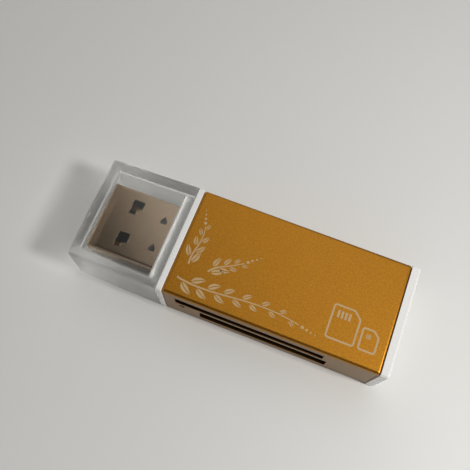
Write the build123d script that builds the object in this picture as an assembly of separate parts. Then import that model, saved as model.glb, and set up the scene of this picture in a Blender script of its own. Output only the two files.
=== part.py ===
from build123d import *
import os

os.makedirs("parts", exist_ok=True)

# Memory card reader on a USB plug, millimetres, +Z up.
# The plug points along -X, the long card slots open to -Y and the small ones to +Y.
# The origin is under the middle of the whole reader, cap on, at table height.

# Case
end_width = 18.6            # white ends and open end of the cap, along Y
end_height = 10.6           # the same, along Z
end_proud = 0.1             # how far the white ends stand out past the sleeve all round
end_corner = 0.5            # rounding of the long corners of the ends and the cap
sleeve_length = 35.7
sleeve_wall = 0.8
sleeve_edge = 0.5           # rounding of the sleeve's four long edges
bore_edge = 0.2             # the same inside it
rim_edge = 0.45             # rounding of the sleeve's ends
collar_thickness = 1.0
collar_chamfer = 0.12
tail_thickness = 1.4
tail_edge = 0.4
step_length = 2.0           # step of the collar that the cap pushes onto
step_chamfer = 0.25
lip_length = 1.0            # lips of collar and tail inside the sleeve
lip_wall = 1.0

# Clear cap
cap_length = 15.4
cap_tip_width = 17.9
cap_tip_height = 10.3
cap_wall = 1.35
cap_front_wall = 1.15
cap_edge = 0.35
cap_inner_edge = 0.4        # rounding inside the cap's front

# Clearances
seat_gap = 0.05             # pieces that meet end to end
fit_gap = 0.1               # mouldings in the sleeve, step in the cap, sockets in their bay
plug_tip_gap = 0.2          # plug to the inside of the cap's front

# USB plug
plug_width = 12.0
plug_height = 4.5
plug_sheet = 0.3
plug_corner = 0.55
plug_tip_chamfer = 0.18
seam_gap = 0.1              # butt joint of the folded sheet, along the underside
window_length = 1.95
window_width = 2.5
window_from_tip = 5.16
window_spacing = 6.0
window_tab = 0.85           # tab of sheet left in one corner of each window
window_tab_corner = 0.3
window_chamfer = 0.1        # edges of windows and barb holes, drawn in by the punch
barb_length = 0.9
barb_width = 1.1
barb_from_tip = 10.3
barb_spacing = 5.05
leg_height = 0.9            # solder legs behind the shell, up to the light
leg_clearance = 0.2
tongue_thickness = 1.84
tongue_set_back = 0.6
mouth_depth = 9.2
contact_width = 1.0
contact_sheet = 0.2
contact_inner = 1.0         # distance of the two inner contacts from the middle
contact_outer = 3.5
contact_set_back = 2.2
contact_tail = 2.6

# Card slots: lengths along X, heights along Z, starts from the sleeve's front end
wide_slot_length = 25.0
wide_slot_height = 2.4
wide_slot_start = 2.15
stick_slot_length = 21.8
stick_slot_height = 3.1
stick_slot_start = 6.3
micro_slot_length = 11.6
micro_slot_height = 1.15
mini_slot_length = 13.0
mini_slot_height = 1.5
small_slot_start = 3.1
socket_spacing = 1.0        # between the two small sockets
pinhole_radius = 0.5
pinhole_from_front = 3.2
pinhole_below_board = 0.4

# Board and carriers
board_thickness = 0.8
board_inset = 0.2
bay_depth = 7.2             # from the far wall to the wall the long cards stop at
stop_wall = 0.6
carrier_wall = 1.0
carrier_end_wall = 2.4
peg_radius = 0.6
peg_reach = 1.0
peg_spacing = 10.0

# Card contacts and small sockets
spring_sheet = 0.15
spring_width = 0.8
spring_foot = 1.2
spring_reach = 4.6
spring_lift = 0.55
spring_tip = 0.8
spring_tip_drop = 0.25
wide_pitch = 2.5
stick_pitch = 1.7
micro_pitch = 1.1
mini_pitch = 0.95
small_spring_width = 0.5
small_spring_foot = 1.0
small_spring_reach = 3.4
small_spring_lift = 0.4
leaf_thickness = 0.2
leaf_height = 1.2
leaf_length = 5.0
leaf_from_wall = 0.2
socket_floor = 0.35
socket_wall = 0.3
socket_sheet = 0.15
socket_bend = 0.3

# Electronics under the board
chip_length = 8.65
chip_width = 3.9
chip_height = 1.5
chip_stand_off = 0.1
lead_pitch = 0.635
lead_width = 0.25
lead_sheet = 0.15
lead_shoulder = 0.35
lead_bend = 0.2
lead_foot = 0.5
crystal_length = 5.0
crystal_width = 3.2
crystal_height = 1.1
crystal_corner = 0.4
small_length = 1.6          # capacitors, resistors and light
small_width = 0.8
small_pitch = 1.2
resistor_height = 0.4
light_height = 0.7
regulator_length = 2.9
regulator_width = 1.3
regulator_height = 1.0
regulator_leg_spacing = 1.9
regulator_leg_width = 0.4
regulator_leg_reach = 0.55
regulator_leg_height = 0.6
part_gap = 0.8

# Places along X
total_length = cap_length + collar_thickness + sleeve_length + tail_thickness
x_cap_tip = -total_length / 2
x_collar = x_cap_tip + cap_length
x_sleeve = x_collar + collar_thickness
x_sleeve_end = x_sleeve + sleeve_length
x_tail_end = x_sleeve_end + tail_thickness
x_core = x_sleeve + lip_length + seat_gap
x_core_end = x_sleeve_end - lip_length - seat_gap
x_plug_tip = x_cap_tip + cap_front_wall + plug_tip_gap
x_plug_end = x_sleeve + lip_length
x_tails_end = x_plug_end + contact_tail
x_contacts = x_plug_tip + contact_set_back
x_wide = x_sleeve + wide_slot_start
x_wide_end = x_wide + wide_slot_length
x_stick = x_sleeve + stick_slot_start
x_stick_end = x_stick + stick_slot_length
x_pinhole = x_sleeve + pinhole_from_front
x_legs_end = x_pinhole - small_length / 2 - leg_clearance
x_peg = x_core_end - carrier_end_wall / 2
micro_width = micro_slot_length + 2 * (socket_wall + socket_sheet)
mini_width = mini_slot_length + 2 * (socket_wall + socket_sheet)
x_micro = x_sleeve + small_slot_start + micro_width / 2
x_mini = x_micro + micro_width / 2 + socket_spacing + mini_width / 2
row_length = regulator_length + chip_length + crystal_length + 2 * small_length + 4 * part_gap
x_row = (x_tails_end + x_core_end - carrier_end_wall - row_length) / 2
x_regulator = x_row + regulator_length / 2
x_front_parts = x_row + regulator_length + part_gap + small_length / 2
x_chip = x_front_parts + small_length / 2 + part_gap + chip_length / 2
x_crystal = x_chip + chip_length / 2 + part_gap + crystal_length / 2
x_rear_parts = x_crystal + crystal_length / 2 + part_gap + small_length / 2

# Places along Y, and widths
sleeve_width = end_width - 2 * end_proud
bore_width = sleeve_width - 2 * sleeve_wall
core_width = bore_width - 2 * fit_gap
cavity_width = end_width - 2 * cap_wall
y_sleeve = sleeve_width / 2
y_core = core_width / 2
y_bay = y_core - bay_depth
y_stop = y_bay - stop_wall
y_socket = y_bay + fit_gap
y_socket_mouth = y_core - seat_gap
y_parts = (y_bay + y_core - carrier_wall) / 2

# Places along Z, and heights
z_mid = end_height / 2
sleeve_height = end_height - 2 * end_proud
bore_height = sleeve_height - 2 * sleeve_wall
core_height = bore_height - 2 * fit_gap
cavity_height = end_height - 2 * cap_wall
z_core_low = z_mid - core_height / 2
z_core_high = z_mid + core_height / 2
z_tongue = z_mid - plug_height / 2 + plug_sheet
z_contacts = z_tongue + tongue_thickness
z_board = z_contacts
z_board_top = z_board + board_thickness
z_stick_low = z_board - stick_slot_height
z_wide_low = z_board_top + fit_gap
z_wide_high = z_wide_low + wide_slot_height
z_pinhole = z_board - pinhole_below_board
z_socket = z_board_top + socket_floor


def block(x0, x1, y0, y1, z0, z1):
    """A box between two corners."""
    place = ((x0 + x1) / 2, (y0 + y1) / 2, (z0 + z1) / 2)
    return Pos(*place) * Box(abs(x1 - x0), abs(y1 - y0), abs(z1 - z0))


def across(x, z=0):
    """A plane square to the length, drawn with Y to the right and Z up."""
    return Plane(origin=(x, 0, z), x_dir=(0, 1, 0), z_dir=(1, 0, 0))


def bar(x0, x1, width, height, corner, z=z_mid):
    """A bar along X with rounded long edges."""
    return extrude(across(x0, z) * RectangleRounded(width, height, corner), x1 - x0)


def taper(x0, width0, height0, x1, width1, height1):
    """A bar along X that goes from one rounded section to another."""
    first = across(x0, z_mid) * RectangleRounded(width0, height0, end_corner)
    last = across(x1, z_mid) * RectangleRounded(width1, height1, end_corner)
    return loft([first, last], ruled=True)


def strip(points, thickness, width, x):
    """A bent strip of sheet: a path in Y and Z, carried straight along X."""
    upper = [(y, z + thickness) for y, z in reversed(points)]
    outline = make_face(Polyline(*points, *upper, close=True))
    return extrude(across(x - width / 2) * outline, width)


def pin(x, y, z0, z1, radius):
    """A round pin standing along Z."""
    return Pos(x, y, (z0 + z1) / 2) * Cylinder(radius, z1 - z0)


def side_hole(x, y0, y1, z, radius):
    """A round hole along Y."""
    return Pos(x, (y0 + y1) / 2, z) * Rot(90, 0, 0) * Cylinder(radius, y1 - y0)


def spread(count, pitch, middle=0):
    """Places of a row of like pieces."""
    return [middle + (i - (count - 1) / 2) * pitch for i in range(count)]


def end_edges(piece, x):
    """Edges of a piece that lie in the plane at x."""
    tolerance = seat_gap / 10
    return piece.edges().filter_by_position(Axis.X, x - tolerance, x + tolerance)


# Case

def make_outer_sleeve():
    tube = bar(x_sleeve, x_sleeve_end, sleeve_width, sleeve_height, sleeve_edge)
    for x in (x_sleeve, x_sleeve_end):
        tube = fillet(end_edges(tube, x), rim_edge)
    tube -= bar(x_sleeve, x_sleeve_end, bore_width, bore_height, bore_edge)
    tube -= block(x_wide, x_wide_end, -y_sleeve, -y_core, z_wide_low, z_wide_high)
    tube -= block(x_stick, x_stick_end, -y_sleeve, -y_core, z_stick_low, z_board)
    tube -= side_hole(x_pinhole, -y_sleeve, -y_core, z_pinhole, pinhole_radius)
    low = z_socket - seat_gap
    for x, length, height in (
        (x_micro, micro_slot_length, micro_slot_height),
        (x_mini, mini_slot_length, mini_slot_height),
    ):
        tube -= block(x - length / 2, x + length / 2, y_core, y_sleeve, low, low + height)
    return tube


def make_front_collar():
    x_step = x_collar - step_length
    step = bar(x_step, x_collar, cavity_width - 2 * fit_gap, cavity_height - 2 * fit_gap, end_corner)
    step = chamfer(end_edges(step, x_step), step_chamfer)
    collar = bar(x_collar, x_sleeve, end_width, end_height, end_corner)
    for x in (x_collar, x_sleeve):
        collar = chamfer(end_edges(collar, x), collar_chamfer)
    lip = bar(x_sleeve, x_sleeve + lip_length, core_width, core_height, bore_edge)
    return step + collar + lip - bar(x_step, x_plug_end, plug_width, plug_height, plug_corner)


def make_tail_cap():
    plate = bar(x_sleeve_end, x_tail_end, end_width, end_height, end_corner)
    plate = fillet(end_edges(plate, x_tail_end), tail_edge)
    x_lip = x_sleeve_end - lip_length
    lip = bar(x_lip, x_sleeve_end, core_width, core_height, bore_edge)
    lip -= bar(x_lip, x_sleeve_end, core_width - 2 * lip_wall, core_height - 2 * lip_wall, bore_edge)
    return plate + lip


def make_clear_cap():
    x_open = x_collar - seat_gap
    draft_width = end_width - cap_tip_width
    draft_height = end_height - cap_tip_height
    outside = taper(x_cap_tip, cap_tip_width, cap_tip_height, x_open, end_width, end_height)
    outside = fillet(end_edges(outside, x_cap_tip), cap_edge)
    x_front = x_cap_tip + cap_front_wall
    cavity = taper(
        x_front,
        cavity_width - draft_width,
        cavity_height - draft_height,
        x_open,
        cavity_width,
        cavity_height,
    )
    return outside - fillet(end_edges(cavity, x_front), cap_inner_edge)


def make_upper_carrier():
    body = bar(x_core, x_core_end, core_width, core_height, bore_edge)
    body -= block(x_core, x_core_end, -y_core, y_core, z_core_low, z_board_top)
    body -= block(x_wide, x_wide_end, -y_core, y_stop, z_board_top, z_wide_high)
    x_bay = x_micro - micro_width / 2 - fit_gap
    x_bay_end = x_mini + mini_width / 2 + fit_gap
    body -= block(x_bay, x_bay_end, y_bay, y_core, z_board_top, z_wide_high)
    room_end = x_core_end - carrier_end_wall
    body -= block(x_wide_end + stop_wall, room_end, carrier_wall - y_core, y_stop, z_board_top, z_wide_high)
    for y in spread(2, peg_spacing):
        body -= pin(x_peg, y, z_board_top, z_board_top + peg_reach + fit_gap, peg_radius + fit_gap)
    return body


def make_lower_carrier():
    body = bar(x_core, x_core_end, core_width, core_height, bore_edge)
    body -= block(x_core, x_core_end, -y_core, y_core, z_board, z_core_high)
    body -= block(x_stick, x_stick_end, -y_core, y_stop, z_stick_low, z_board)
    room = x_core + carrier_wall
    room_end = x_core_end - carrier_end_wall
    body -= block(room, room_end, y_bay, y_core - carrier_wall, z_stick_low, z_board)
    body -= block(room, x_stick - stop_wall, stop_wall - y_core, y_bay, z_stick_low, z_board)
    body -= block(x_stick_end + stop_wall, room_end, carrier_wall - y_core, y_bay, z_stick_low, z_board)
    notch = plug_width / 2 + fit_gap
    body -= block(x_core, room, -notch, notch, z_board - leg_height - fit_gap, z_board)
    body -= side_hole(x_pinhole, -y_core, stop_wall - y_core, z_pinhole, pinhole_radius)
    for y in spread(2, peg_spacing):
        body += pin(x_peg, y, z_board, z_board_top + peg_reach, peg_radius)
    return body


# USB plug

def plug_windows():
    """The two windows, each a rectangle with a round-cornered tab left in one corner."""
    tab = RectangleRounded(2 * window_tab, 2 * window_tab, window_tab_corner)
    outline = Rectangle(window_length, window_width) - Pos(window_length / 2, -window_width / 2) * tab
    cut = extrude(outline, plug_height)
    x = x_plug_tip + window_from_tip
    return [Pos(x, y, z_mid - plug_height / 2) * cut for y in spread(2, window_spacing)]


def plug_barbs():
    """The two house-shaped holes left where barbs are pressed down into the tongue."""
    half = barb_length / 2
    wide = barb_width / 2
    house = Polyline((-half, -wide), (half, -wide), (half, 0), (0, wide), (-half, 0), close=True)
    cut = extrude(make_face(house), plug_height)
    return [Pos(x_plug_tip + barb_from_tip, y, z_mid) * cut for y in spread(2, barb_spacing)]


def make_usb_plug_shell():
    shell = bar(x_plug_tip, x_plug_end, plug_width, plug_height, plug_corner)
    shell = chamfer(end_edges(shell, x_plug_tip), plug_tip_chamfer)
    hollow_width = plug_width - 2 * plug_sheet
    hollow_height = plug_height - 2 * plug_sheet
    shell -= bar(x_plug_tip, x_plug_end, hollow_width, hollow_height, plug_corner - plug_sheet)
    for cut in plug_windows() + plug_barbs():
        shell -= cut
    top = shell.faces().sort_by(Axis.Z)[-1]
    shell = chamfer([edge for hole in top.inner_wires() for edge in hole.edges()], window_chamfer)
    z_under = z_mid - plug_height / 2
    shell -= block(x_plug_tip, x_plug_end, -seam_gap / 2, seam_gap / 2, z_under, z_tongue)
    for y in (-plug_width / 2, plug_width / 2 - plug_sheet):
        shell += block(x_plug_end, x_legs_end, y, y + plug_sheet, z_board - leg_height, z_board)
    return shell


def contact_places():
    return (-contact_outer, -contact_inner, contact_inner, contact_outer)


def make_usb_plug_tongue():
    x_mouth = x_plug_tip + mouth_depth
    hollow_width = plug_width - 2 * plug_sheet
    hollow_height = plug_height - 2 * plug_sheet
    corner = plug_corner - plug_sheet
    rear = bar(x_mouth, x_plug_end, hollow_width, hollow_height, corner)
    z_middle = z_tongue + tongue_thickness / 2
    x_front = x_plug_tip + tongue_set_back
    tongue = bar(x_front, x_mouth, hollow_width - 2 * fit_gap, tongue_thickness, corner, z_middle)
    body = rear + tongue
    half = contact_width / 2
    for y in contact_places():
        body -= block(x_contacts, x_plug_end, y - half, y + half, z_contacts - contact_sheet, z_contacts)
    return body


def make_usb_plug_contacts():
    half = contact_width / 2
    low = z_contacts - contact_sheet
    return [block(x_contacts, x_tails_end, y - half, y + half, low, z_contacts) for y in contact_places()]


# Board and electronics

def make_circuit_board():
    half = y_core - board_inset
    board = block(x_core + seat_gap, x_core_end - seat_gap, -half, half, z_board, z_board_top)
    for y in spread(2, peg_spacing):
        board -= pin(x_peg, y, z_board, z_board_top, peg_radius + fit_gap)
    return board


def under_board(x, y, length, width, z_top, height):
    """A block that hangs under the board, by its middle and its top."""
    half = length / 2
    wide = width / 2
    return block(x - half, x + half, y - wide, y + wide, z_top - height, z_top)


def make_controller_chip():
    return under_board(x_chip, y_parts, chip_length, chip_width, z_board - chip_stand_off, chip_height)


def make_controller_leads():
    half = chip_width / 2
    root = z_board - chip_stand_off - chip_height / 2
    foot = z_board - lead_sheet
    knee = half + lead_shoulder
    ankle = knee + lead_bend
    path = [(half, root), (knee, root), (ankle, foot), (ankle + lead_foot, foot)]
    far = [(y_parts + y, z) for y, z in path]
    near = [(y_parts - y, z) for y, z in path]
    places = spread(12, lead_pitch, x_chip)
    return [strip(points, lead_sheet, lead_width, x) for x in places for points in (near, far)]


def make_crystal():
    can = under_board(x_crystal, y_parts, crystal_length, crystal_width, z_board, crystal_height)
    return fillet(can.edges().filter_by(Axis.Z), crystal_corner)


def small_places(first):
    """Every second place of the two columns of small parts, from the first or the second."""
    rows = spread(5, small_pitch, y_parts)[first::2]
    return [(x, y) for x in (x_front_parts, x_rear_parts) for y in rows]


def make_capacitors():
    size = (small_length, small_width, z_board, small_width)
    return [under_board(x, y, *size) for x, y in small_places(0)]


def make_resistors():
    size = (small_length, small_width, z_board, resistor_height)
    return [under_board(x, y, *size) for x, y in small_places(1)]


def make_regulator():
    top = z_board - chip_stand_off
    body = under_board(x_regulator, y_parts, regulator_length, regulator_width, top, regulator_height)
    offset = (regulator_width + regulator_leg_reach) / 2
    legs = [(x, y_parts + offset) for x in spread(2, regulator_leg_spacing, x_regulator)]
    legs.append((x_regulator, y_parts - offset))
    for x, y in legs:
        body += under_board(x, y, regulator_leg_width, regulator_leg_reach, z_board, regulator_leg_height)
    return body


def make_activity_led():
    y = stop_wall + seat_gap + small_width / 2 - y_core
    return under_board(x_pinhole, y, small_length, small_width, z_board, light_height)


# Card contacts and small sockets

def long_card_springs(count, pitch, middle, face, side):
    """Contact springs on one face of the board: foot at the stop, arm towards the slot, tip bent back."""
    foot = y_stop - seat_gap
    bend = foot - spring_reach
    path = [
        (foot, 0),
        (foot - spring_foot, 0),
        (bend, spring_lift),
        (bend - spring_tip, spring_lift - spring_tip_drop),
    ]
    points = [(y, face + side * z) for y, z in path]
    return [strip(points, spring_sheet, spring_width, x) for x in spread(count, pitch, middle)]


def make_wide_card_contacts():
    return long_card_springs(9, wide_pitch, (x_wide + x_wide_end) / 2, z_board_top, 1)


def make_stick_card_contacts():
    return long_card_springs(10, stick_pitch, (x_stick + x_stick_end) / 2, z_board - spring_sheet, -1)


def make_wide_card_switch_leaves():
    y_root = y_stop - seat_gap
    starts = (x_wide + leaf_from_wall, x_wide_end - leaf_from_wall - leaf_thickness)
    top = z_board_top + leaf_height
    return [block(x, x + leaf_thickness, y_root - leaf_length, y_root, z_board_top, top) for x in starts]


def socket_base(x, width, slot_height):
    """Moulded tray of a small socket: a floor, two side walls and a back wall, open at the mouth."""
    half = width / 2 - socket_sheet
    top = z_socket + slot_height - fit_gap
    tray = block(x - half, x + half, y_socket, y_socket_mouth, z_board_top, top)
    inner = half - socket_wall
    return tray - block(x - inner, x + inner, y_socket + socket_wall, y_socket_mouth, z_socket, top)


def socket_shell(x, width, slot_height):
    """Folded sheet cover of a small socket: a roof with two bent-down sides that stand on the board."""
    half = width / 2
    top = z_socket + slot_height - fit_gap + socket_sheet
    cover = block(x - half, x + half, y_socket, y_socket_mouth, z_board_top, top)
    cover = fillet(cover.edges().filter_by(Axis.Y).group_by(Axis.Z)[-1], socket_bend)
    inner = half - socket_sheet
    room = block(x - inner, x + inner, y_socket, y_socket_mouth, z_board_top, top - socket_sheet)
    return cover - room


def socket_springs(count, pitch, x):
    """Contacts of a small socket: foot at its back, arm towards its mouth."""
    root = y_socket + socket_wall
    bend = root + small_spring_reach
    points = [
        (root, z_socket),
        (root + small_spring_foot, z_socket),
        (bend, z_socket + small_spring_lift),
        (bend + spring_tip, z_socket + small_spring_lift - spring_tip_drop),
    ]
    return [strip(points, spring_sheet, small_spring_width, place) for place in spread(count, pitch, x)]


def make_micro_card_base():
    return socket_base(x_micro, micro_width, micro_slot_height)


def make_micro_card_shell():
    return socket_shell(x_micro, micro_width, micro_slot_height)


def make_micro_card_contacts():
    return socket_springs(8, micro_pitch, x_micro)


def make_mini_card_base():
    return socket_base(x_mini, mini_width, mini_slot_height)


def make_mini_card_shell():
    return socket_shell(x_mini, mini_width, mini_slot_height)


def make_mini_card_contacts():
    return socket_springs(11, mini_pitch, x_mini)


pieces = {
    "outer_sleeve": make_outer_sleeve,
    "front_collar": make_front_collar,
    "tail_cap": make_tail_cap,
    "clear_cap": make_clear_cap,
    "upper_carrier": make_upper_carrier,
    "lower_carrier": make_lower_carrier,
    "usb_plug_shell": make_usb_plug_shell,
    "usb_plug_tongue": make_usb_plug_tongue,
    "usb_plug_contacts": make_usb_plug_contacts,
    "circuit_board": make_circuit_board,
    "controller_chip": make_controller_chip,
    "controller_leads": make_controller_leads,
    "crystal": make_crystal,
    "capacitors": make_capacitors,
    "resistors": make_resistors,
    "regulator": make_regulator,
    "activity_led": make_activity_led,
    "wide_card_contacts": make_wide_card_contacts,
    "wide_card_switch_leaves": make_wide_card_switch_leaves,
    "stick_card_contacts": make_stick_card_contacts,
    "micro_card_base": make_micro_card_base,
    "micro_card_shell": make_micro_card_shell,
    "micro_card_contacts": make_micro_card_contacts,
    "mini_card_base": make_mini_card_base,
    "mini_card_shell": make_mini_card_shell,
    "mini_card_contacts": make_mini_card_contacts,
}

for name, make in pieces.items():
    piece = make()
    if isinstance(piece, list):
        piece = Compound(children=piece)
    export_step(piece, f"parts/{name}.step")
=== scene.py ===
"""Looks of a memory card reader on a USB plug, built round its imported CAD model.

Metres, in the frame of the model: the plug points along -X, the long card slots open to -Y,
the small ones to +Y, and the table is at z = 0.
"""
import bpy
import numpy as np
from mathutils import Matrix, Vector


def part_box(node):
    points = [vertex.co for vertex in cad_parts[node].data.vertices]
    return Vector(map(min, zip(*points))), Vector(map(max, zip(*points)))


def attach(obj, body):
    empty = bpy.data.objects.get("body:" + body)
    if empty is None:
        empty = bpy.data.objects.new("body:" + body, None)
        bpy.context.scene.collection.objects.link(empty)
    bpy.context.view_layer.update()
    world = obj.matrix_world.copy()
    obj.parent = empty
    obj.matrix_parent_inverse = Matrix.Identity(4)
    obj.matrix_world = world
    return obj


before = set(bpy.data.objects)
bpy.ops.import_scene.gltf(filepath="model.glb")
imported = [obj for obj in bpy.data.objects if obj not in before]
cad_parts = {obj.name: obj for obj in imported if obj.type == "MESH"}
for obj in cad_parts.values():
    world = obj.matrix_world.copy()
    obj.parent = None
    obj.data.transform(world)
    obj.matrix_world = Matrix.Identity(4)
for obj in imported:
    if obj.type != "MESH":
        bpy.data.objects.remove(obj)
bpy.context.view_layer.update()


# Circuit board
# Green fibreglass board between the two carriers; it holds everything electric.
# Solder mask over copper tracks, which show as slightly lighter lines.

mm = 0.001


def put(tree, kind, values=None, **options):
    """Add a node to a tree: options are the node's own settings, values go on its input sockets."""
    made = tree.nodes.new(kind)
    for option, setting in options.items():
        setattr(made, option, setting)
    for socket, value in (values or {}).items():
        made.inputs[socket].default_value = value
    return made


def new_finish(name):
    """An empty material, its node tree and its Principled shader."""
    finish = bpy.data.materials.new(name)
    finish.use_nodes = True
    return finish, finish.node_tree, finish.node_tree.nodes["Principled BSDF"]


def dress(finish, *nodes):
    """Give CAD nodes a finish in place of the plain material that they came with."""
    for name in nodes:
        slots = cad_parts[name].data.materials
        for place in range(len(slots)):
            slots[place] = finish


def new_group(name, inputs, outputs):
    """An empty node group with float sockets, and its two end nodes."""
    group = bpy.data.node_groups.new(name, "ShaderNodeTree")
    for socket, value in inputs.items():
        made = group.interface.new_socket(socket, in_out="INPUT", socket_type="NodeSocketFloat")
        made.default_value = value
    for socket in outputs:
        group.interface.new_socket(socket, in_out="OUTPUT", socket_type="NodeSocketFloat")
    return group, put(group, "NodeGroupInput"), put(group, "NodeGroupOutput")


def make_surface_grain():
    """Node group: fine grain of a surface, and the slower drift of its tone.

    Height is noise at Scale grains per metre, Tone is noise a tenth as fine, both about 0 to 1.
    """
    group, start, end = new_group("surface_grain", {"Scale": 5000.0}, ("Height", "Tone"))
    links = group.links
    place = put(group, "ShaderNodeTexCoord")
    fine = put(group, "ShaderNodeTexNoise", {"Detail": 3.0, "Roughness": 0.6})
    slower = put(group, "ShaderNodeMath", {1: 0.1}, operation="MULTIPLY")
    broad = put(group, "ShaderNodeTexNoise", {"Detail": 4.0, "Roughness": 0.55})
    links.new(place.outputs["Object"], fine.inputs["Vector"])
    links.new(place.outputs["Object"], broad.inputs["Vector"])
    links.new(start.outputs["Scale"], fine.inputs["Scale"])
    links.new(start.outputs["Scale"], slower.inputs[0])
    links.new(slower.outputs["Value"], broad.inputs["Scale"])
    links.new(fine.outputs["Fac"], end.inputs["Height"])
    links.new(broad.outputs["Fac"], end.inputs["Tone"])
    return group


surface_grain = make_surface_grain()


def shade(colour, factor=1.0):
    """A colour times a factor, with alpha 1."""
    return (*(factor * part for part in colour), 1.0)


def grained_finish(name, colour, roughness, scale, depth, drift=0.06, metallic=0.0, **sockets):
    """A material with surface grain: its tone drifts about its colour, its roughness follows the
    grain from one value to another, and a bump of the given depth follows the grain too."""
    finish, tree, shader = new_finish(name)
    links = tree.links
    grain = put(tree, "ShaderNodeGroup", node_tree=surface_grain, name="grain")
    grain.inputs["Scale"].default_value = scale
    tone = put(tree, "ShaderNodeMix", data_type="RGBA", name="tone")
    tone.inputs["A"].default_value = shade(colour, 1 - drift)
    tone.inputs["B"].default_value = shade(colour, 1 + drift)
    rough = put(tree, "ShaderNodeMapRange", {"To Min": roughness[0], "To Max": roughness[1]})
    bump = put(tree, "ShaderNodeBump", {"Strength": 1.0, "Distance": depth})
    links.new(grain.outputs["Tone"], tone.inputs["Factor"])
    links.new(tone.outputs["Result"], shader.inputs["Base Color"])
    links.new(grain.outputs["Height"], rough.inputs["Value"])
    links.new(rough.outputs["Result"], shader.inputs["Roughness"])
    links.new(grain.outputs["Height"], bump.inputs["Height"])
    links.new(bump.outputs["Normal"], shader.inputs["Normal"])
    shader.inputs["Metallic"].default_value = metallic
    for socket, value in sockets.items():
        shader.inputs[socket.replace("_", " ")].default_value = value
    return finish


def make_solder_mask():
    """Green lacquer: the joints of a brick pattern 5 by 1.1 mm stand for copper tracks under it."""
    over_board, over_copper = (0.02, 0.13, 0.05), (0.06, 0.27, 0.08)
    finish = grained_finish("solder_mask", over_board, (0.22, 0.36), 6 / mm, 0.002 * mm, drift=0.2)
    tree = finish.node_tree
    shader = tree.nodes["Principled BSDF"]
    place = put(tree, "ShaderNodeTexCoord")
    tracks = put(
        tree, "ShaderNodeTexBrick",
        {"Scale": 1 / mm, "Brick Width": 5.0, "Row Height": 1.1, "Mortar Size": 0.16, "Mortar Smooth": 0.2})
    over = put(tree, "ShaderNodeMix", data_type="RGBA")
    over.inputs["B"].default_value = shade(over_copper)
    tree.links.new(place.outputs["Object"], tracks.inputs["Vector"])
    tree.links.new(tracks.outputs["Fac"], over.inputs["Factor"])
    tree.links.new(tree.nodes["tone"].outputs["Result"], over.inputs["A"])
    tree.links.new(over.outputs["Result"], shader.inputs["Base Color"])
    return finish


dress(make_solder_mask(), "circuit_board")


# Electronics under the board
# Moulded controller and regulator, a tinned crystal can, ceramic capacitors and resistors with
# tinned ends, and a cloudy light behind the pinhole; all soldered to the board.

package_black = grained_finish(
    "package_black", (0.022, 0.022, 0.024), (0.45, 0.65), 12 / mm, 0.006 * mm, drift=0.15)
dress(package_black, "controller_chip", "regulator")
tin = (0.62, 0.61, 0.59)
tinned_steel = grained_finish("tinned_steel", tin, (0.22, 0.4), 6 / mm, 0.003 * mm, metallic=1.0)
dress(tinned_steel, "controller_leads", "crystal")
led_resin = grained_finish("led_resin", (0.78, 0.76, 0.62), (0.15, 0.3), 5 / mm, 0.002 * mm, drift=0.05)
dress(led_resin, "activity_led")


def make_tinned_ends():
    """Node group: 1 on the tinned ends of the small parts, which stand in two columns along X.

    It is 1 where x is further than Half from the nearer of the two columns.
    """
    group, start, end = new_group("tinned_ends", {"Front": 0.0, "Rear": 0.0, "Half": 0.001}, ("Mask",))
    links = group.links
    place = put(group, "ShaderNodeTexCoord")
    parts = put(group, "ShaderNodeSeparateXYZ")
    nearer = put(group, "ShaderNodeMath", operation="MINIMUM")
    beyond = put(group, "ShaderNodeMath", operation="GREATER_THAN")
    links.new(place.outputs["Object"], parts.inputs["Vector"])
    for socket, column in enumerate(("Front", "Rear")):
        offset = put(group, "ShaderNodeMath", operation="SUBTRACT")
        distance = put(group, "ShaderNodeMath", operation="ABSOLUTE")
        links.new(parts.outputs["X"], offset.inputs[0])
        links.new(start.outputs[column], offset.inputs[1])
        links.new(offset.outputs["Value"], distance.inputs[0])
        links.new(distance.outputs["Value"], nearer.inputs[socket])
    links.new(nearer.outputs["Value"], beyond.inputs[0])
    links.new(start.outputs["Half"], beyond.inputs[1])
    links.new(beyond.outputs["Value"], end.inputs["Mask"])
    return group


tinned_ends = make_tinned_ends()


def dress_small_parts(node, name, colour):
    """Ceramic chips 1.6 mm long along X, with 0.3 mm of tin at both ends."""
    half_length = 0.8 * mm
    tin_length = 0.3 * mm
    finish = grained_finish(name, colour, (0.4, 0.55), 9 / mm, 0.003 * mm, drift=0.12)
    tree = finish.node_tree
    shader = tree.nodes["Principled BSDF"]
    low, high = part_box(node)
    ends = put(tree, "ShaderNodeGroup", node_tree=tinned_ends)
    ends.inputs["Front"].default_value = low[0] + half_length
    ends.inputs["Rear"].default_value = high[0] - half_length
    ends.inputs["Half"].default_value = half_length - tin_length
    over = put(tree, "ShaderNodeMix", data_type="RGBA")
    over.inputs["B"].default_value = shade(tin)
    tree.links.new(ends.outputs["Mask"], over.inputs["Factor"])
    tree.links.new(ends.outputs["Mask"], shader.inputs["Metallic"])
    tree.links.new(tree.nodes["tone"].outputs["Result"], over.inputs["A"])
    tree.links.new(over.outputs["Result"], shader.inputs["Base Color"])
    dress(finish, node)


dress_small_parts("capacitors", "tan_ceramic", (0.42, 0.29, 0.17))
dress_small_parts("resistors", "resistor_black", (0.025, 0.025, 0.028))


# Carriers and small sockets
# Two black mouldings fill the sleeve above and below the board and guide the long cards; the
# trays of the two small sockets and the plug's tongue are the same kind of moulding. The shells
# of the sockets are tinned sheet, folded over their trays.

carrier_black = grained_finish(
    "carrier_black", (0.028, 0.027, 0.026), (0.5, 0.7), 8 / mm, 0.01 * mm, drift=0.2)
dress(
    carrier_black, "upper_carrier", "lower_carrier", "micro_card_base", "mini_card_base", "usb_plug_tongue")
dress(tinned_steel, "micro_card_shell", "mini_card_shell")


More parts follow.
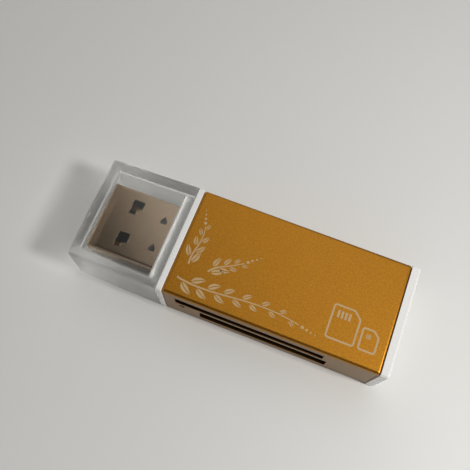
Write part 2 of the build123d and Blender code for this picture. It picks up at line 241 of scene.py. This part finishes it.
# Contacts
# Stamped spring contacts of the card slots and the four strips on the plug's tongue.
# Copper alloy with a flash of gold.

contact_gold = grained_finish(
    "contact_gold", (0.83, 0.6, 0.25), (0.18, 0.32), 7 / mm, 0.002 * mm, metallic=1.0)
dress(
    contact_gold, "usb_plug_contacts", "wide_card_contacts", "wide_card_switch_leaves",
    "stick_card_contacts", "micro_card_contacts", "mini_card_contacts")


# Plug shell
# Nickel-plated sheet steel, stamped and folded round the tongue.
# The rolled sheet has a faint grain along its length.

def make_plug_nickel():
    """Nickel with grain drawn out along X: noise on coordinates that are squeezed in X."""
    darker, paler = (0.36, 0.26, 0.17), (0.385, 0.278, 0.182)
    finish, tree, shader = new_finish("plug_nickel")
    links = tree.links
    place = put(tree, "ShaderNodeTexCoord")
    drawn = put(tree, "ShaderNodeMapping", {"Scale": (0.05, 1.0, 1.0)})
    lines = put(tree, "ShaderNodeTexNoise", {"Scale": 7 / mm, "Detail": 4.0, "Roughness": 0.6})
    rough = put(tree, "ShaderNodeMapRange", {"To Min": 0.1, "To Max": 0.15})
    tone = put(tree, "ShaderNodeMix", data_type="RGBA")
    tone.inputs["A"].default_value = shade(darker)
    tone.inputs["B"].default_value = shade(paler)
    links.new(place.outputs["Object"], drawn.inputs["Vector"])
    links.new(drawn.outputs["Vector"], lines.inputs["Vector"])
    links.new(lines.outputs["Fac"], rough.inputs["Value"])
    links.new(rough.outputs["Result"], shader.inputs["Roughness"])
    links.new(lines.outputs["Fac"], tone.inputs["Factor"])
    links.new(tone.outputs["Result"], shader.inputs["Base Color"])
    shader.inputs["Metallic"].default_value = 1.0
    return finish


dress(make_plug_nickel(), "usb_plug_shell")


# Outer sleeve
# Extruded aluminium tube, slots punched in its sides, blasted and anodised gold.
# The satin skin has a fine sparkling grain; painted shade darkens the inside of the tube and the slots' cut
# edges.

sleeve_low, sleeve_high = np.array(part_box("outer_sleeve"))


def make_anodised_gold():
    """Gold with grain in its tone and slope, and painted shade: a darker tone inside the tube.

    A point is inside where it lies deeper than a skin within the outer box, the rims left out.
    """
    skin = np.array((0.5, 0.12, 0.12)) * mm
    gold, shaded_bore_gold = (0.49, 0.202, 0.009), (0.13, 0.06, 0.02)
    centre = (sleeve_low + sleeve_high) / 2
    reach = (sleeve_high - sleeve_low) / 2 - skin
    finish = grained_finish(
        "anodised_gold", gold, (0.3, 0.38), 3.8 / mm, 0.003 * mm, drift=0.05, metallic=1.0,
        Specular_Tint=(0.34, 0.55, 0.7, 1.0), Coat_Weight=0.35, Coat_Roughness=0.3, Coat_IOR=1.5)
    tree = finish.node_tree
    links = tree.links
    shader = tree.nodes["Principled BSDF"]
    grain = tree.nodes["grain"]
    sparkle = put(tree, "ShaderNodeMix", data_type="RGBA", blend_type="MULTIPLY")
    sparkle.inputs["Factor"].default_value = 1.0
    spread = put(
        tree, "ShaderNodeMapRange", {"From Min": 0.32, "From Max": 0.68, "To Min": 0.83, "To Max": 1.17})
    place = put(tree, "ShaderNodeTexCoord")
    offset = put(tree, "ShaderNodeVectorMath", {1: centre}, operation="SUBTRACT")
    away = put(tree, "ShaderNodeVectorMath", operation="ABSOLUTE")
    depth = put(tree, "ShaderNodeVectorMath", {0: reach}, operation="SUBTRACT")
    parts = put(tree, "ShaderNodeSeparateXYZ")
    least = put(tree, "ShaderNodeMath", operation="MINIMUM")
    least_of_all = put(tree, "ShaderNodeMath", operation="MINIMUM")
    inside = put(tree, "ShaderNodeMath", {1: 0.0}, operation="GREATER_THAN")
    # Painted shade: a dark gold colour on the tube's inner faces and the slots' cut faces, where shadow
    # falls.
    bore_shade = put(tree, "ShaderNodeMix", data_type="RGBA")
    bore_shade.inputs["B"].default_value = shade(shaded_bore_gold)
    links.new(grain.outputs["Height"], spread.inputs["Value"])
    links.new(tree.nodes["tone"].outputs["Result"], sparkle.inputs["A"])
    links.new(spread.outputs["Result"], sparkle.inputs["B"])
    links.new(place.outputs["Object"], offset.inputs[0])
    links.new(offset.outputs["Vector"], away.inputs[0])
    links.new(away.outputs["Vector"], depth.inputs[1])
    links.new(depth.outputs["Vector"], parts.inputs["Vector"])
    links.new(parts.outputs["X"], least.inputs[0])
    links.new(parts.outputs["Y"], least.inputs[1])
    links.new(least.outputs["Value"], least_of_all.inputs[0])
    links.new(parts.outputs["Z"], least_of_all.inputs[1])
    links.new(least_of_all.outputs["Value"], inside.inputs[0])
    links.new(inside.outputs["Value"], bore_shade.inputs["Factor"])
    links.new(sparkle.outputs["Result"], bore_shade.inputs["A"])
    links.new(bore_shade.outputs["Result"], shader.inputs["Base Color"])
    return finish


dress(make_anodised_gold(), "outer_sleeve")


# Print on the sleeve
# Three sprays of leaves in the near left corner of the top and two plain cards near the tail.
# Thin pale matt ink, 0.02 mm thick, on the anodised skin.

ink_thickness = 0.02 * mm
ink_sink = 0.005 * mm
ink_foot = sleeve_high[2] - ink_sink
ink_face = sleeve_high[2] + ink_thickness


def slab(first, second, closed=False):
    """A thin closed slab between two flat curves with as many points each.

    Every step along the curves gives a ring of four points, the two curves at the foot and at the
    face of the ink. Quads join each ring to the next, and an open slab has one more at each end.
    The second curve is kept on the left of the first, so that the faces point outwards.
    """
    across = second - first
    along = np.diff(first, axis=0, append=first[:1] if closed else 2 * first[-1:] - first[-2:-1])
    if np.sum(along[:, 0] * across[:, 1] - along[:, 1] * across[:, 0]) < 0:
        first, second = second, first
    count = len(first)
    foot = np.full((count, 1), ink_foot)
    face = np.full((count, 1), ink_face)
    corners = [np.hstack(pair) for pair in ((first, foot), (first, face), (second, face), (second, foot))]
    points = np.stack(corners, axis=1).reshape(-1, 3)
    here = 4 * np.arange(count if closed else count - 1)[:, None]
    there = (here + 4) % (4 * count)
    side = np.arange(4)[None, :]
    turned = (side + 1) % 4
    quads = np.stack([here + side, there + side, there + turned, here + turned], axis=2).reshape(-1, 4)
    if not closed:
        last = 4 * (count - 1)
        quads = np.vstack([quads, [[0, 1, 2, 3]], [[last + 3, last + 2, last + 1, last]]])
    return points, quads


def beside(path, distance):
    """A flat path moved to its left by a distance, which may change along it."""
    step = np.gradient(path, axis=0)
    step /= np.linalg.norm(step, axis=1, keepdims=True)
    return path + np.column_stack([-step[:, 1], step[:, 0]]) * np.reshape(distance, (-1, 1))


def leaf(root, angle, length, width, bend):
    """Two halves of a slim pointed leaf with a slit along its middle.

    The middle line turns evenly by the bend, and each half is as wide as a half sine wave whose
    crest is skewed towards the root, raised to a power that makes its ends sharper.
    """
    share = np.linspace(0.02, 0.98, 15)
    half_slit = 0.07 * mm
    skew, sharpness = 0.8, 1.1
    headings = angle + bend * share
    steps = np.column_stack([np.cos(headings), np.sin(headings)]) * length / len(share)
    middle = root + np.cumsum(steps, axis=0)
    swell = width / 2 * np.sin(np.pi * share**skew) ** sharpness
    rim = half_slit + swell
    return [slab(beside(middle, side * half_slit), beside(middle, side * rim)) for side in (-1, 1)]


def dot(centre, radius):
    """A round dot: a slab between the two halves of a circle."""
    angles = np.linspace(0.06, 0.94, 13) * np.pi
    near, far = (np.column_stack([np.cos(angles), side * np.sin(angles)]) for side in (-1, 1))
    return slab(centre + radius * near, centre + radius * far)


def spray(controls, leaves, leaf_length):
    """A stem, leaves that shrink along it on both sides in turn, and dots that shrink past its end.

    The stem is a cubic curve: a sum of four control points, weighted by the terms of the cube of
    (1 - share) + share. The control points and the length of the first leaf are in millimetres.
    """
    root_half, tip_half = 0.15 * mm, 0.07 * mm
    leaf_gap = 0.1 * mm
    leaf_slope, leaf_bend = 0.75, -0.5
    leaf_slimness, leaf_loss = 0.34, 0.6
    dots = 4
    dot_start, dot_pitch = 0.6 * mm, 0.75 * mm
    dot_radius, dot_loss = 0.26 * mm, 0.05 * mm
    share = np.linspace(0, 1, 60)[:, None]
    start, lift, pull, end = np.array(controls) * mm
    stem = (
        (1 - share) ** 3 * start + 3 * (1 - share) ** 2 * share * lift
        + 3 * (1 - share) * share**2 * pull + share**3 * end)
    half = np.linspace(root_half, tip_half, len(stem))
    shapes = [slab(beside(stem, -half), beside(stem, half))]
    step = np.gradient(stem, axis=0)
    headings = np.arctan2(step[:, 1], step[:, 0])
    for index, place in enumerate(np.linspace(3, 55, leaves).astype(int)):
        side = 1 if index % 2 else -1
        size = leaf_length * mm * (1 - leaf_loss * index / leaves)
        root = beside(stem, side * (half[place] + leaf_gap))[place]
        angle = headings[place] + side * leaf_slope
        shapes += leaf(root, angle, size, leaf_slimness * size, side * leaf_bend)
    run = np.array([np.cos(headings[-1]), np.sin(headings[-1])])
    for index in range(dots):
        shapes.append(dot(end + run * (dot_start + dot_pitch * index), dot_radius - dot_loss * index))
    return shapes


def card(centre, width, height, clip, bars):
    """A plain memory card: a line round a rectangle with one clipped corner, and a row of bars.

    The line lies between two such outlines, each made of arcs about the same five centres: one at
    each whole corner, and two at the clipped one, moved by the slant along one side each.
    """
    corner, line = 0.35 * mm, 0.3 * mm
    margin = 0.75 * mm
    bar_share, bar_fill = 0.22, 0.6
    x, y = width / 2 - corner, height / 2 - corner
    slant = clip - corner * (1 - 2**0.5 / 2) * 2**0.5
    arcs = (
        (x, -y, -90, 0), (x, y - slant, 0, 45), (x - slant, y, 45, 90),
        (-x, y, 90, 180), (-x, -y, 180, 270))
    outlines = []
    for radius in (corner - line / 2, corner + line / 2):
        bends = []
        for arc_x, arc_y, turn, turn_end in arcs:
            angles = np.radians(np.linspace(turn, turn_end, 6))
            turned = np.column_stack([np.cos(angles), np.sin(angles)])
            bends.append(np.array((arc_x, arc_y)) + radius * turned)
        outlines.append(centre + np.vstack(bends))
    shapes = [slab(*outlines, closed=True)]
    bar_top = centre[1] + height / 2 - margin
    bar_foot = bar_top - bar_share * height
    row = width - clip - 1.5 * margin
    pitch = row / (bars - 1 + bar_fill)
    for index in range(bars):
        left = centre[0] - width / 2 + margin + pitch * index
        right = left + bar_fill * pitch
        shapes.append(slab(
            np.array([(left, bar_foot), (left, bar_top)]), np.array([(right, bar_foot), (right, bar_top)])))
    return shapes


def add_piece(name, shapes, finish, body):
    """One mesh object of several shapes, each points and faces, riding on a body."""
    starts = np.cumsum([0] + [len(points) for points, faces in shapes])
    all_points = np.vstack([points for points, faces in shapes])
    all_faces = np.vstack([faces + start for (points, faces), start in zip(shapes, starts)])
    mesh = bpy.data.meshes.new(name)
    mesh.from_pydata(all_points.tolist(), [], all_faces.tolist())
    mesh.materials.append(finish)
    piece = bpy.data.objects.new(name, mesh)
    bpy.context.scene.collection.objects.link(piece)
    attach(piece, body)


pale_ink = grained_finish("pale_ink", (0.47, 0.32, 0.15), (0.45, 0.6), 7 / mm, 0.002 * mm, drift=0.1)
sprays = (
    spray([(-8.9, -6.2), (-2.5, -7.5), (3.5, -4.7), (11.5, -6.5)], 13, 2.6)
    + spray([(-8.0, -3.6), (-8.5, -1.4), (-7.0, 0.6), (-7.9, 3.2)], 7, 2.3)
    + spray([(-4.7, -3.7), (-3.6, -2.0), (-1.8, -1.9), (0.2, -0.3)], 7, 2.2))
cards = (
    card(np.array((17.9, -3.9)) * mm, 4.4 * mm, 5.4 * mm, 1.1 * mm, 4)
    + card(np.array((22.2, -4.9)) * mm, 2.6 * mm, 3.4 * mm, 0.8 * mm, 3))
add_piece("printed_leaves", sprays, pale_ink, "reader")
add_piece("printed_cards", cards, pale_ink, "reader")


# White ends
# The collar that the cap pushes onto and the plate that closes the tail.
# Moulded white plastic with a slight gloss.

white_gloss = grained_finish(
    "white_gloss", (0.78, 0.775, 0.755), (0.22, 0.32), 3 / mm, 0.002 * mm, drift=0.015)
dress(white_gloss, "front_collar", "tail_cap")


# Clear cap
# Injection-moulded clear plastic cap over the plug, polished over the cavity, its walls frosted;
# it pushes onto the collar's step. Lamps shine through it onto the plug.

def make_clear_plastic():
    """Clear plastic whose roughness follows slow smears, within one range on the walls and a lower
    one over the cavity, with a smooth change from 1.2 to 2.8 mm away from the front and the sides.
    Rays to lamps pass the plastic, dimmed."""
    near, far = 1.2 * mm, 2.8 * mm
    smears = {"From Min": 0.35, "From Max": 0.8}
    low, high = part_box("clear_cap")
    finish, tree, shader = new_finish("clear_plastic")
    links = tree.links
    grain = put(tree, "ShaderNodeGroup", node_tree=surface_grain)
    grain.inputs["Scale"].default_value = 2 / mm
    polished = put(tree, "ShaderNodeMapRange", {**smears, "To Min": 0.06, "To Max": 0.12})
    frosted = put(tree, "ShaderNodeMapRange", {**smears, "To Min": 0.44, "To Max": 0.54})
    place = put(tree, "ShaderNodeTexCoord")
    parts = put(tree, "ShaderNodeSeparateXYZ")
    across = put(tree, "ShaderNodeMath", operation="ABSOLUTE")
    sides = put(
        tree, "ShaderNodeMapRange", {"From Min": high[1] - far, "From Max": high[1] - near},
        interpolation_type="SMOOTHSTEP")
    front = put(
        tree, "ShaderNodeMapRange", {"From Min": low[0] + far, "From Max": low[0] + near},
        interpolation_type="SMOOTHSTEP")
    walls = put(tree, "ShaderNodeMath", operation="MAXIMUM")
    rough = put(tree, "ShaderNodeMix", data_type="FLOAT")
    bare = put(tree, "ShaderNodeBsdfTransparent", {"Color": (0.55, 0.55, 0.545, 1.0)})
    path = put(tree, "ShaderNodeLightPath")
    lit = put(tree, "ShaderNodeMixShader")
    links.new(place.outputs["Object"], parts.inputs["Vector"])
    links.new(parts.outputs["X"], front.inputs["Value"])
    links.new(parts.outputs["Y"], across.inputs[0])
    links.new(across.outputs["Value"], sides.inputs["Value"])
    links.new(front.outputs["Result"], walls.inputs[0])
    links.new(sides.outputs["Result"], walls.inputs[1])
    links.new(grain.outputs["Tone"], polished.inputs["Value"])
    links.new(grain.outputs["Tone"], frosted.inputs["Value"])
    links.new(walls.outputs["Value"], rough.inputs["Factor"])
    links.new(polished.outputs["Result"], rough.inputs["A"])
    links.new(frosted.outputs["Result"], rough.inputs["B"])
    links.new(rough.outputs["Result"], shader.inputs["Roughness"])
    links.new(path.outputs["Is Shadow Ray"], lit.inputs["Fac"])
    links.new(shader.outputs["BSDF"], lit.inputs[1])
    links.new(bare.outputs["BSDF"], lit.inputs[2])
    links.new(lit.outputs["Shader"], tree.nodes["Material Output"].inputs["Surface"])
    shader.inputs["Base Color"].default_value = (0.97, 0.975, 0.965, 1.0)
    shader.inputs["Transmission Weight"].default_value = 1.0
    shader.inputs["IOR"].default_value = 1.5
    return finish


dress(make_clear_plastic(), "clear_cap")


# Table
# A plain pale table top, a hair's breadth under the reader.

def make_table():
    """One large square."""
    half = 1.5
    level = -0.02 * mm
    mesh = bpy.data.meshes.new("table_top")
    corners = [(-half, -half, level), (half, -half, level), (half, half, level), (-half, half, level)]
    mesh.from_pydata(corners, [], [(0, 1, 2, 3)])
    mesh.materials.append(
        grained_finish("table_matt", (0.71, 0.705, 0.685), (0.5, 0.6), 0.4 / mm, 0.004 * mm, drift=0.01))
    table = bpy.data.objects.new("table_top", mesh)
    bpy.context.scene.collection.objects.link(table)


make_table()


# Light
# One soft box on the right throws the shadows. The rest of the studio is dark but for soft screens
# on the left, behind and overhead, and a pale band round the horizon, which metal and cap mirror.

middle = Vector((0.0, 0.0, 0.005))


def add_soft_box(name, place, width, watts, colour):
    """A square area lamp turned towards the middle of the reader."""
    lamp = bpy.data.lights.new(name, "AREA")
    lamp.size = width
    lamp.energy = watts
    lamp.color = colour
    box = bpy.data.objects.new(name, lamp)
    box.location = place
    box.rotation_euler = (middle - Vector(place)).to_track_quat("-Z", "Y").to_euler()
    box.visible_camera = False
    bpy.context.scene.collection.objects.link(box)


add_soft_box("key_light", place=(0.160, -0.013, 0.188), width=0.038, watts=0.42, colour=(1.0, 0.985, 0.96))


def make_room(ground, screens):
    """World light: an even ground plus round screens, each with its direction, the two angles in
    degrees between which it fades smoothly, and its strength. The screen that points down reaches
    past the horizon, so it is a pale band all round. The first sum starts from the ground, and each
    later one from the sum before it."""
    room = bpy.data.worlds.new("soft_room")
    room.use_nodes = True
    tree = room.node_tree
    links = tree.links
    place = put(tree, "ShaderNodeTexCoord")
    total = None
    for name, (direction, inner, outer, strength) in screens.items():
        turned = put(
            tree, "ShaderNodeVectorMath", {1: Vector(direction).normalized()}, operation="DOT_PRODUCT")
        rim, heart = np.cos(np.radians((outer, inner)))
        fade = put(
            tree, "ShaderNodeMapRange", {"From Min": rim, "From Max": heart, "To Max": strength},
            interpolation_type="SMOOTHSTEP", name=name)
        added = put(tree, "ShaderNodeMath", {0: ground}, operation="ADD")
        links.new(place.outputs["Generated"], turned.inputs[0])
        links.new(turned.outputs["Value"], fade.inputs["Value"])
        links.new(fade.outputs["Result"], added.inputs[1])
        if total:
            links.new(total.outputs["Value"], added.inputs[0])
        total = added
    links.new(total.outputs["Value"], tree.nodes["Background"].inputs["Color"])
    bpy.context.scene.world = room


make_room(
    ground=0.07,
    screens={
        "horizon_band": ((0.0, 0.0, -1.0), 97, 122, 0.5),
        "left_screen": ((-1.0, 0.0, 0.12), 8, 58, 0.5),
        "far_left_screen": ((-0.48, 0.84, 0.2), 10, 40, 0.45),
        "far_overhead_screen": ((0.0, 0.5, 0.87), 14, 24, 0.8),
        "right_overhead_screen": ((0.22, 0.1, 0.97), 5, 18, 0.36),
        "overhead_screen": ((-0.03, 0.1, 0.99), 4, 14, 0.22)})


# Camera
# It stands where the photograph was taken, above the near side, looking down.

def add_camera():
    """Axes of the view: backwards along the line of sight, the picture's upward direction, and right."""
    eye = Vector((7.41, -28.22, 101.13)) * mm
    sight = Vector((-0.107, 0.3296, -0.938)).normalized()
    upward = Vector((-0.3456, 0.8723, 0.3459)).normalized()
    right = sight.cross(upward).normalized()
    upward = right.cross(sight)
    turn = Matrix((right, upward, -sight)).transposed().to_4x4()
    data = bpy.data.cameras.new("photo_camera")
    data.sensor_width = 36.0
    data.lens = 45.9
    data.clip_start = 0.005
    data.clip_end = 10.0
    camera = bpy.data.objects.new("photo_camera", data)
    camera.matrix_world = Matrix.Translation(eye) @ turn
    bpy.context.scene.collection.objects.link(camera)
    bpy.context.scene.camera = camera


add_camera()
bpy.context.scene.view_settings.view_transform = "Standard"
rays = bpy.context.scene.cycles
rays.max_bounces = rays.glossy_bounces = rays.transmission_bounces = 32
